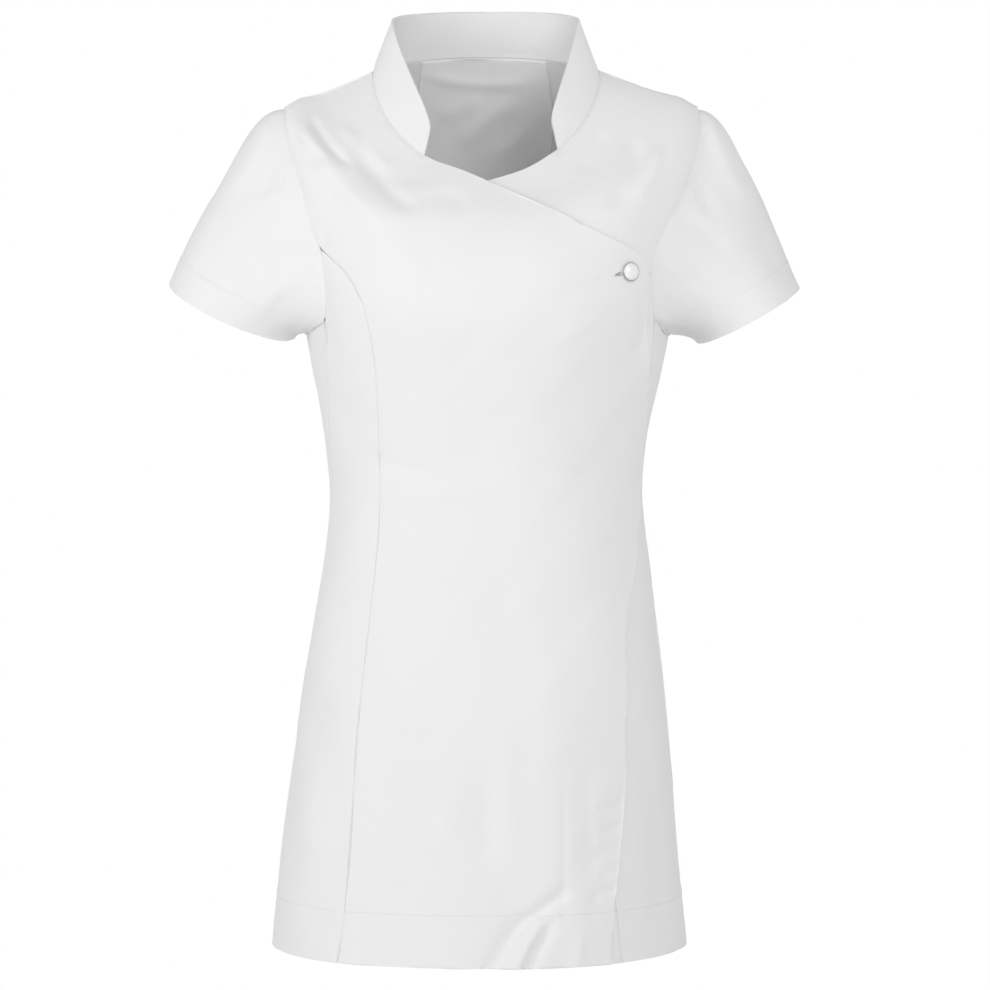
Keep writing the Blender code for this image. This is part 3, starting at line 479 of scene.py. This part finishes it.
RIM_GROWTH = 0.00014
SEAM_PUCKER_REACH = 0.010
HEM_PUCKER_REACH = 0.006
HEM_PUCKER_SHARE = 0.6
STEADY_REACH = 0.012
SEAM_DIP = 0.0006
SEAM_DIP_REACH = 0.0028
HEM_LIFT = 0.0004
HEM_STEP = 0.002
HEM_CREASE_DROP = 0.001
SHARP_EDGE = math.radians(55)


def dress(cloth, sewn_to, rows, finish, hem, hem_height, steady=()):
    """Gives a wall its folds, seams and hem. At its seams to the nodes in steady it only dips."""
    mesh = cloth.data
    points = points_of(mesh)
    out, along = outward_of(mesh)
    points += along * RIM_GROWTH
    from_seam = distance(points, np.concatenate([rims[other] for other in sewn_to]))
    above_hem = distance(points, hem)
    lift = folded(points, rows) + waved(points, RIPPLES)
    pucker = waved(points, PUCKERS)
    lift += pucker * np.exp(-((from_seam / SEAM_PUCKER_REACH) ** 2))
    lift += HEM_PUCKER_SHARE * pucker * np.exp(-(((above_hem - hem_height) / HEM_PUCKER_REACH) ** 2))
    if steady:
        lift *= ease(distance(points, np.concatenate([rims[other] for other in steady])), 0.0, STEADY_REACH)
    lift -= SEAM_DIP * np.exp(-((from_seam / SEAM_DIP_REACH) ** 2))
    lift += HEM_LIFT * ease(hem_height - above_hem, 0, HEM_STEP)
    points += out * lift[:, None]
    mesh.vertices.foreach_set("co", points.ravel())
    for label, values in (("hem", above_hem - hem_height + HEM_CREASE_DROP), ("seam", from_seam)):
        mesh.attributes.new(label, "FLOAT", "POINT").data.foreach_set("value", values.astype(np.float32))
    mesh.materials.clear()
    mesh.materials.append(finish)
    mesh.shade_smooth()
    mesh.set_sharp_from_angle(angle=SHARP_EDGE)
    mesh.update()


BODY_RADIUS = 0.14
TOWARDS_FRONT = Vector((0, -1, 0))
UPRIGHT = Vector((0, 0, 1))


def lay_weave(mesh, middle, up, start, radius):
    """A UV map in metres, round the line through middle along up, from start, and along that line."""
    points = points_of(mesh) - np.array(middle)
    turn = np.arctan2(points @ np.array(up.cross(start)), points @ np.array(start))
    corner = np.empty(len(mesh.loops), np.int32)
    mesh.loops.foreach_get("vertex_index", corner)
    places = np.stack([turn * radius, points @ np.array(up)], -1)[corner]
    while mesh.uv_layers:
        mesh.uv_layers.remove(mesh.uv_layers[0])
    mesh.uv_layers.new(name="cloth").data.foreach_set("uv", places.ravel())


front_twill = twill("front_twill", (0.87, 0.87, 0.872))
right_front = cut_cloth("right_front", "right_front_cloth", 3)
dress(right_front, ("right_side_front", "right_sleeve", "back", "collar"), FRONT_FOLDS, front_twill,
      body_hem("right_front"), HEM_HEIGHT, ("right_sleeve", "collar"))
lay_weave(right_front.data, Vector(), UPRIGHT, TOWARDS_FRONT, BODY_RADIUS)
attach(right_front, "root")
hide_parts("right_front")

# Left front
# The wearer's left front, in the same twill. The right one covers it but for the triangle between the
# neckline, the collar and the armhole.
left_front = cut_cloth("left_front", "left_front_cloth", 3)
dress(left_front, ("left_side_front", "left_sleeve", "back", "collar"), FRONT_FOLDS, front_twill,
      body_hem("left_front"), HEM_HEIGHT, ("left_sleeve", "collar"))
lay_weave(left_front.data, Vector(), UPRIGHT, TOWARDS_FRONT, BODY_RADIUS)
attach(left_front, "root")
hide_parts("left_front")

# Side fronts
# The panels between each princess seam and side seam, in the same twill, which shape the bust and the waist.
# They are sewn to the fronts, the back and the sleeves.
# A touch bluer than the fronts' twill: painted shade of the side panels, which face away from the lights
side_twill_shaded = twill("side_twill_shaded", (0.87, 0.87, 0.874))
for side in ("right", "left"):
    node = side + "_side_front"
    panel = cut_cloth(node, node + "_cloth", 3)
    dress(panel, (side + "_front", side + "_sleeve", "back"), FRONT_FOLDS, side_twill_shaded,
          body_hem(node), HEM_HEIGHT, (side + "_sleeve",))
    lay_weave(panel.data, Vector(), UPRIGHT, TOWARDS_FRONT, BODY_RADIUS)
    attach(panel, "root")
    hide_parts(node)

# Back
# One plain panel of the same twill from side seam to side seam, with its hem turned like the fronts'. It is
# out of sight in the photo, so its creases are like those of the front.
BACK_FOLDS = (
    # x from, z from, x to, z to, bow, lift, near, far
    (-0.150, -0.060, -0.096, -0.130, -0.004, -0.0028, 0.009, 0.014),
    (0.148, -0.058, 0.100, -0.120, 0.004, -0.0030, 0.012, 0.008),
    (-0.130, -0.066, -0.086, -0.104, -0.003, 0.0018, 0.007, 0.009),
    (-0.100, -0.320, -0.020, -0.352, 0.004, -0.0032, 0.009, 0.012),
    (0.030, -0.330, 0.104, -0.310, 0.003, -0.0028, 0.008, 0.012),
    (-0.080, -0.370, -0.030, -0.384, 0.002, 0.0022, 0.009, 0.009),
    (0.020, -0.362, 0.076, -0.352, 0.003, 0.0018, 0.007, 0.009),
    (-0.060, -0.520, -0.078, -0.728, 0.004, 0.0040, 0.018, 0.026),
    (0.070, -0.540, 0.064, -0.728, -0.004, 0.0038, 0.022, 0.016),
    (0.004, -0.600, -0.006, -0.728, 0.003, -0.0032, 0.018, 0.020),
)
# A touch darker and bluer than the fronts' twill: a painted-shade copy of the same cloth
back_twill_shaded = twill("back_twill_shaded", (0.865, 0.865, 0.870))
back = cut_cloth("back", "back_cloth", 2)
dress(back, ("right_side_front", "left_side_front", "right_front", "left_front", "right_sleeve",
             "left_sleeve", "collar"),
      BACK_FOLDS, back_twill_shaded, body_hem("back"), HEM_HEIGHT, ("right_sleeve", "left_sleeve", "collar"))
lay_weave(back.data, Vector(), UPRIGHT, -TOWARDS_FRONT, BODY_RADIUS)
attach(back, "root")
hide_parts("back")

# Sleeves
# Short set-in sleeves in the same twill, with a little ease in the head. The hem is turned up inside and
# stitched.
SLEEVE_HEM = 0.025
SLEEVE_RADIUS = 0.06
ARMHOLE_REACH = 0.008
RIGHT_SLEEVE_FOLDS = (
    # x from, z from, x to, z to, bow, lift, near, far
    (-0.166, -0.046, -0.184, -0.112, -0.004, -0.0022, 0.006, 0.008),
    (-0.178, -0.040, -0.206, -0.100, -0.004, 0.0018, 0.007, 0.008),
    (-0.162, -0.062, -0.168, -0.104, -0.001, -0.0014, 0.003, 0.004),
    (-0.158, -0.140, -0.200, -0.176, 0.004, -0.0014, 0.007, 0.010),
    (-0.152, -0.176, -0.184, -0.206, 0.003, 0.0012, 0.006, 0.008),
    (-0.222, -0.110, -0.240, -0.170, -0.003, 0.0012, 0.009, 0.009),
)
LEFT_SLEEVE_FOLDS = (
    # x from, z from, x to, z to, bow, lift, near, far
    (0.168, -0.052, 0.184, -0.128, 0.004, -0.0022, 0.008, 0.006),
    (0.184, -0.044, 0.212, -0.110, 0.004, 0.0018, 0.008, 0.007),
    (0.154, -0.126, 0.196, -0.160, -0.004, -0.0016, 0.008, 0.010),
    (0.150, -0.160, 0.180, -0.200, -0.003, 0.0014, 0.006, 0.008),
    (0.224, -0.120, 0.240, -0.176, 0.003, -0.0010, 0.009, 0.009),
)
OUTWARDS = {"right": -1.0, "left": 1.0}
# How far a sleeve's weave falls for each metre outwards
WEAVE_FALL = 0.5
hems = {}
# A touch darker and bluer than the fronts' twill: painted shade of the sleeves
sleeve_twill_shaded = twill("sleeve_twill_shaded", (0.865, 0.865, 0.870))
for side, rows in (("right", RIGHT_SLEEVE_FOLDS), ("left", LEFT_SLEEVE_FOLDS)):
    node = side + "_sleeve"
    sleeve = cut_cloth(node, node + "_cloth", 3, CORES[node])
    body = (side + "_front", side + "_side_front", "back")
    from_armhole = distance(rims[node].mean(axis=1), np.concatenate([rims[other] for other in body]))
    hems[side] = rims[node][from_armhole > ARMHOLE_REACH]
    dress(sleeve, body, rows, sleeve_twill_shaded, hems[side], SLEEVE_HEM, body)
    along = Vector((OUTWARDS[side], 0, -WEAVE_FALL)).normalized()
    lay_weave(sleeve.data, CORES[node], along, UPRIGHT, SLEEVE_RADIUS)
    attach(sleeve, "root")
    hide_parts(node)

# Collar
# A stand collar of the same twill in two layers, with curved front ends. It is sewn to the neckline and has
# no hem.
NECK_RADIUS = 0.08
# A stretch far above the tunic, so that no point counts as near a hem
NO_HEM = np.array([[[0.0, 0.0, FAR_OFF], [0.0, 0.0, 1.01 * FAR_OFF]]])
# A touch darker and bluer than the fronts' twill: painted shade of the collar
collar_twill_shaded = twill("collar_twill_shaded", (0.865, 0.865, 0.872))
collar = cut_cloth("collar", "collar_cloth", 3, CORES["collar"])
dress(collar, ("right_front", "left_front", "back"), (), collar_twill_shaded, NO_HEM, 0.0,
      ("right_front", "left_front", "back"))
lay_weave(collar.data, Vector(), UPRIGHT, -TOWARDS_FRONT, NECK_RADIUS)
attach(collar, "root")
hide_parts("collar")

# Facing inside the back neck
# A piece of the same twill inside the back of the neck, which finishes the neckline under the collar. Its
# colour is painted paler than the rest, as painted light standing in for light that reaches into the neck.
# Its folds stand inwards only, because the back lies close behind it.
FACING_FOLDS = (
    # x from, z from, x to, z to, bow, lift, near, far
    (-0.050, -0.001, 0.036, -0.005, 0.003, -0.0020, 0.005, 0.004),
    (-0.022, -0.058, 0.026, -0.020, -0.004, -0.0026, 0.008, 0.009),
    (-0.042, -0.030, -0.004, -0.016, 0.003, -0.0014, 0.006, 0.007),
    (0.004, -0.066, 0.040, -0.040, 0.002, -0.0020, 0.006, 0.006),
)
# Paler than the other twills: painted light for the inside of the neck
facing_twill_painted_light = twill("facing_twill_painted_light", (0.92, 0.92, 0.93))
facing = cut_cloth("back_neck_facing", "back_neck_facing_cloth", 3, CORES["back_neck_facing"])
dress(facing, ("collar",), FACING_FOLDS, facing_twill_painted_light, NO_HEM, 0.0)
lay_weave(facing.data, Vector(), UPRIGHT, -TOWARDS_FRONT, NECK_RADIUS)
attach(facing, "root")
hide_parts("back_neck_facing")

# Stitches
# Lockstitch along the body's and the sleeves' hems, in white polyester thread a little shinier than the
# cloth. It goes through both layers of the hem, and each stitch shows as a small rounded bar.
STITCH = 0.0030
THREAD_RADIUS = 0.00022
THREAD_SEAT = 0.3
THREAD_SIDES = 6
STITCH_RINGS = (
    # place along the stitch as a share of its length, radius as a share of the thread's
    (-0.46, 0.3),
    (-0.34, 1.0),
    (0.34, 1.0),
    (0.46, 0.3),
)
# Places of a line that are more stitches apart than this lie on either side of a break in it
BREAK = 3
thread_finish = plain_finish("thread_paint", (0.84, 0.84, 0.85), 0.5)


def in_order(stretches, shift, middle, up, start):
    """Points along a hem, moved by shift and sorted round the line through middle along up."""
    places = stretches.mean(axis=1)
    turn = np.arctan2((places - middle) @ np.cross(up, start), (places - middle) @ np.array(start))
    return places[np.argsort(turn)] + shift


def even_points(places, gap):
    """Points spaced evenly along a line."""
    steps = np.linalg.norm(np.diff(places, axis=0), axis=1)
    run = np.concatenate([[0], np.cumsum(steps)])
    at = np.arange(gap / 2, run[-1], gap)
    return np.stack([np.interp(at, run, places[:, axis]) for axis in range(3)], -1)


def sew(name, lines, pitch, finish):
    """Small rounded bars end to end along lines over cloths, given as (line, cloth)."""
    points, faces = [], []
    turns = np.arange(THREAD_SIDES) * math.tau / THREAD_SIDES
    for line, cloth in lines:
        tree = bvhtree.BVHTree.FromObject(cloth, bpy.context.evaluated_depsgraph_get())
        places = even_points(line, pitch)
        ways = np.gradient(places, axis=0) if len(places) > 1 else [line[-1] - line[0]]
        for wanted, way in zip(places, ways):
            place, normal = tree.find_nearest(Vector(wanted))[:2]
            if np.linalg.norm(way) > BREAK * pitch:
                continue
            side = normal.cross(Vector(way)).normalized()
            way = side.cross(normal)
            first = len(points)
            for share, breadth in STITCH_RINGS:
                centre = place + normal * (THREAD_SEAT * THREAD_RADIUS) + way * (share * pitch)
                reach = THREAD_RADIUS * breadth
                points += [centre + (side * math.cos(turn) + normal * math.sin(turn)) * reach
                           for turn in turns]
            for ring in range(len(STITCH_RINGS) - 1):
                low = first + ring * THREAD_SIDES
                high = low + THREAD_SIDES
                for corner in range(THREAD_SIDES):
                    after = (corner + 1) % THREAD_SIDES
                    faces.append((low + corner, low + after, high + after, high + corner))
            faces.append(tuple(range(first, first + THREAD_SIDES))[::-1])
            faces.append(tuple(range(len(points) - THREAD_SIDES, len(points))))
    mesh = bpy.data.meshes.new(name)
    mesh.from_pydata(points, [], faces)
    mesh.shade_smooth()
    mesh.materials.append(finish)
    row = bpy.data.objects.new(name, mesh)
    bpy.context.scene.collection.objects.link(row)
    return row


lines = []
for node in ("right_front", "right_side_front", "left_side_front", "left_front", "back"):
    start = -TOWARDS_FRONT if node == "back" else TOWARDS_FRONT
    line = in_order(body_hem(node), np.array([0, 0, HEM_HEIGHT]), np.zeros(3), UPRIGHT, start)
    lines.append((line, bpy.data.objects[node + "_cloth"]))
hem_stitches = sew("hem_stitches", lines, STITCH, thread_finish)
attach(hem_stitches, "root")

# The way from an armhole to the end of its sleeve, for the left one
SLEEVE_WAY = np.array([0.80, 0.0, -0.60])
lines = []
for side in ("right", "left"):
    away = SLEEVE_WAY * (OUTWARDS[side], 1, 1)
    line = in_order(hems[side], -SLEEVE_HEM * away, hems[side].mean(axis=(0, 1)), away, -UPRIGHT)
    lines.append((line, bpy.data.objects[side + "_sleeve_cloth"]))
sleeve_stitches = sew("sleeve_stitches", lines, STITCH, thread_finish)
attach(sleeve_stitches, "root")

# Buttonhole
# A slit in the lap, edged with close satin stitches of the same thread. The button's shank pulls it a little
# open, and the button hides all but its left end.
HOLE_FROM, HOLE_TO = np.array([0.1055, -0.1756]), np.array([0.1135, -0.1722])
LAP_FACE = -0.112
SATIN_STITCH = 0.0017
SATIN_PAIRS = 14
SATIN_OFF_SLIT = 0.0003
BARTACKS = (-0.0006, 0.0, 0.0006)
BARTACK_OFF_END = 0.0002
SLIT_STITCH = 0.0036
GAPES = (0.0, 0.0012, 0.0024, 0.0036)


def on_lap(*ends):
    """A line over the lap's face from places given as x and z."""
    return np.array([[x, LAP_FACE, z] for x, z in ends]), right_front


run = (HOLE_TO - HOLE_FROM) / np.linalg.norm(HOLE_TO - HOLE_FROM)
aside = np.array([-run[1], run[0]])
lines = []
for share in np.linspace(0, 1, SATIN_PAIRS):
    for way in (aside, -aside):
        near = HOLE_FROM + share * (HOLE_TO - HOLE_FROM) + way * SATIN_OFF_SLIT
        lines.append(on_lap(near, near + way * SATIN_STITCH))
for off in BARTACKS:
    for end, way in ((HOLE_FROM, -run), (HOLE_TO, run)):
        near = end + way * BARTACK_OFF_END + aside * off
        lines.append(on_lap(near, near + way * SATIN_STITCH))
buttonhole = sew("buttonhole_stitches", lines, SATIN_STITCH, thread_finish)
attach(buttonhole, "root")
# Dark bars fanned along the slit, wider towards the button, stand for its open gap: painted shade
slit_shadow = plain_finish("slit_shadow", (0.22, 0.22, 0.23), 0.9)
lines = [on_lap(HOLE_FROM, HOLE_TO - (0, gape)) for gape in GAPES]
slit = sew("buttonhole_slit_shadow", lines, SLIT_STITCH, slit_shadow)
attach(slit, "root")

# Button
# A glossy white plastic dome with a thin grey edge, about 15 mm broad. It is turned a little towards the
# front, and its shank goes into the buttonhole.
DOME_HEIGHT = 0.45
EDGE_RADIUS = 0.00062
SHANK_RADIUS = 0.0016
BUTTON_GROWTH = 1.08
BUTTON_TILT = math.radians(8)
BUTTON_SHIFT = np.array([-0.0015, 0.0, 0.0010])
# Points of the solid further out than this share of its radius lie on its edge
EDGE_SHARE = 0.97
PEARL_WHITE = (0.93, 0.93, 0.94, 1.0)
PEARL_GREY = (0.90, 0.90, 0.92, 1.0)
PEARL_GRAIN = 260.0
button_shell = bpy.data.materials.new("button_shell")
button_shell.use_nodes = True
shell = button_shell.node_tree.nodes["Principled BSDF"]
wires = Wire(button_shell.node_tree)
cloud = wires.make("ShaderNodeTexNoise", {"noise_dimensions": "3D"},
                   {"Vector": wires.make("ShaderNodeTexCoord", out=3), "Scale": PEARL_GRAIN, "Detail": 2.0})
pearl = wires.make("ShaderNodeMix", {"data_type": "RGBA"}, {0: cloud, 6: PEARL_WHITE, 7: PEARL_GREY}, out=2)
button_shell.node_tree.links.new(pearl.socket, shell.inputs["Base Color"])
shell.inputs["Roughness"].default_value = 0.16
shell.inputs["Coat Weight"].default_value = 0.5
edge_finish = plain_finish("button_edge", (0.42, 0.42, 0.44), 0.28, 0.7)

solid = points_of(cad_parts["button"].data)
middle = (solid.max(axis=0) + solid.min(axis=0)) / 2
axis = np.linalg.svd(solid - solid.mean(axis=0), full_matrices=False)[2][2]
axis = axis * -np.sign(axis[1])
depth = (solid - middle) @ axis
across = np.linalg.norm(solid - middle - depth[:, None] * axis, axis=1)
radius = across.max() * BUTTON_GROWTH
edge_depth = depth[across > EDGE_SHARE * across.max()].mean()
shank_length = edge_depth - depth.min()
seat = Vector(middle + axis * edge_depth + BUTTON_SHIFT)
axis = Vector(axis).lerp(TOWARDS_FRONT, BUTTON_TILT / Vector(axis).angle(TOWARDS_FRONT)).normalized()
turned = axis.to_track_quat("Z", "Y").to_euler()
bpy.ops.object.select_all(action="DESELECT")
bpy.ops.mesh.primitive_torus_add(major_radius=radius - EDGE_RADIUS, minor_radius=EDGE_RADIUS,
                                 major_segments=64, minor_segments=12, location=seat, rotation=turned)
edge = bpy.context.object
edge.data.materials.append(edge_finish)
bpy.ops.mesh.primitive_cylinder_add(vertices=24, radius=SHANK_RADIUS, depth=shank_length,
                                    location=seat - axis * shank_length / 2, rotation=turned)
shank = bpy.context.object
shank.data.materials.append(button_shell)
bpy.ops.mesh.primitive_uv_sphere_add(segments=64, ring_count=32, radius=radius - EDGE_RADIUS, location=seat,
                                     rotation=turned, scale=(1.0, 1.0, DOME_HEIGHT))
button = bpy.context.object
button.name = "button_dome"
button.data.materials.append(button_shell)
edge.select_set(True)
shank.select_set(True)
bpy.ops.object.join()
bpy.ops.object.transform_apply(location=True, rotation=True, scale=True)
button.data.shade_smooth()
button.data.set_sharp_from_angle(angle=math.radians(50))
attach(button, "root")
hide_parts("button")
